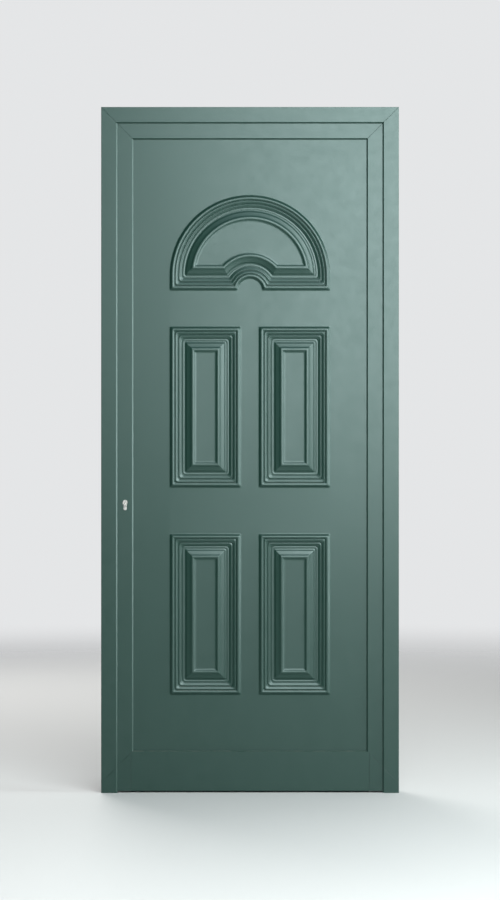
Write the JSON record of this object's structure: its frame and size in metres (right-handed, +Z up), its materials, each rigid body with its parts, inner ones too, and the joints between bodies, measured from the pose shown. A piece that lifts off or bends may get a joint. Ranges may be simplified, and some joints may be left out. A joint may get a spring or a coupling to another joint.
{
  "type": "panelled front door with frame",
  "caption": "Metal front door in its outer frame, with an arched and panelled leaf that opens inwards on hinges, a mortise lock and an inside lever handle.",
  "frame": {"origin": "on the floor, half way across the door and half way through its overall depth", "axes": "+Z up, +Y into the room, +X to the right seen from outside"},
  "size_m": [0.955, 0.1174, 2.2],
  "materials": {
    "door_paint": "dark green powder coat, half gloss",
    "hinge_paint": "dark green powder coat, half gloss",
    "mill_aluminium": "mill finish",
    "seal_rubber": "matt black",
    "brush_fibre": "dense fibre pile",
    "panel_foam": "rigid foam",
    "block_plastic": "plain",
    "cap_plastic": "fine matt",
    "bush_nylon": "smooth",
    "pin_steel": "ground",
    "plate_steel": "brushed along",
    "case_steel": "zinc plated",
    "bolt_steel": "nickel plated",
    "spring_steel": "drawn wire",
    "screw_steel": "plain",
    "cylinder_nickel": "satin nickel",
    "handle_steel": "satin"
  },
  "bodies": {
    "frame": {"frame_lock_jamb": "door_paint", "frame_hinge_jamb": "door_paint", "frame_head": "door_paint", "frame_corner_cleats_left": "mill_aluminium", "frame_corner_cleats_right": "mill_aluminium", "frame_seal": "seal_rubber", "fixing_caps": "cap_plastic", "strike_plate": "plate_steel", "strike_screws": "screw_steel", "hinge_frame_screws": "screw_steel", "hinge_bottom_frame_wing": "hinge_paint", "hinge_middle_frame_wing": "hinge_paint", "hinge_top_frame_wing": "hinge_paint", "hinge_bottom_pin": "pin_steel", "hinge_middle_pin": "pin_steel", "hinge_top_pin": "pin_steel"},
    "leaf": {"leaf_lock_stile": "door_paint", "leaf_hinge_stile": "door_paint", "leaf_head_rail": "door_paint", "leaf_bottom_rail": "door_paint", "leaf_corner_cleats_left": "mill_aluminium", "leaf_corner_cleats_right": "mill_aluminium", "bottom_rail_connectors": "mill_aluminium", "bottom_seal_carrier": "mill_aluminium", "bottom_brush": "brush_fibre", "panel_outer_skin": "door_paint", "panel_core": "panel_foam", "panel_inner_skin": "door_paint", "panel_outer_gasket": "seal_rubber", "panel_inner_gasket": "seal_rubber", "glazing_bead_left": "door_paint", "glazing_bead_right": "door_paint", "glazing_bead_top": "door_paint", "glazing_bead_bottom": "door_paint", "setting_blocks": "block_plastic", "hinge_leaf_screws": "screw_steel", "lock_faceplate": "plate_steel", "lock_case": "case_steel", "lock_cover": "case_steel", "lock_screws": "screw_steel", "latch_spring": "spring_steel", "cylinder_body": "cylinder_nickel", "handle_rose": "handle_steel", "cylinder_rose": "handle_steel", "rose_screws": "screw_steel", "hinge_bottom_leaf_wing": "hinge_paint", "hinge_middle_leaf_wing": "hinge_paint", "hinge_top_leaf_wing": "hinge_paint", "hinge_bottom_bushes": "bush_nylon", "hinge_middle_bushes": "bush_nylon", "hinge_top_bushes": "bush_nylon"},
    "handle": {"lever_handle": "handle_steel", "handle_spindle": "case_steel", "lock_follower": "case_steel"},
    "latch": {"latch_bolt": "bolt_steel"},
    "bolt": {"dead_bolt": "bolt_steel"},
    "outer_plug": {"outer_plug": "cylinder_nickel"},
    "inner_plug": {"inner_plug": "cylinder_nickel"},
    "cam": {"cylinder_cam": "case_steel"}
  },
  "joints": [
    {"name": "leaf_swing", "type": "hinge", "parent": "frame", "child": "leaf", "pos_m": [0.4385, 0.01625, 1.1], "axis": [0, 0, -1], "range_deg": [0, 110]},
    {"name": "handle_turn", "type": "hinge", "parent": "leaf", "child": "handle", "pos_m": [-0.4005, 0.04925, 1.023], "axis": [0, 1, 0], "range_deg": [0, 40], "stiffness_Nm_per_rad": 1.5, "springref_deg": -20.05},
    {"name": "latch_slide", "type": "slide", "parent": "leaf", "child": "latch", "axis": [1, 0, 0], "range_m": [0, 0.012], "deforming": ["latch_spring"]},
    {"name": "outer_key_turn", "type": "hinge", "parent": "leaf", "child": "outer_plug", "pos_m": [-0.4005, -0.02425, 0.931], "axis": [0, 1, 0], "range_deg": [0, 720]},
    {"name": "cam_turn", "type": "hinge", "parent": "leaf", "child": "cam", "pos_m": [-0.4005, -0.02425, 0.931], "axis": [0, 1, 0], "range_deg": [0, 720]},
    {"name": "bolt_slide", "type": "slide", "parent": "leaf", "child": "bolt", "axis": [-1, 0, 0], "range_m": [0, 0.02]},
    {"name": "inner_key_turn", "type": "hinge", "parent": "leaf", "child": "inner_plug", "pos_m": [-0.4005, -0.02425, 0.931], "axis": [0, 1, 0], "range_deg": [0, 720]}
  ],
  "couplings": [
    {"joint": "latch_slide", "follows": "handle_turn", "m_per_rad": 0.017187},
    {"joint": "outer_key_turn", "follows": "bolt_slide", "rad_per_m": 628.26},
    {"joint": "cam_turn", "follows": "bolt_slide", "rad_per_m": 628.26}
  ]
}
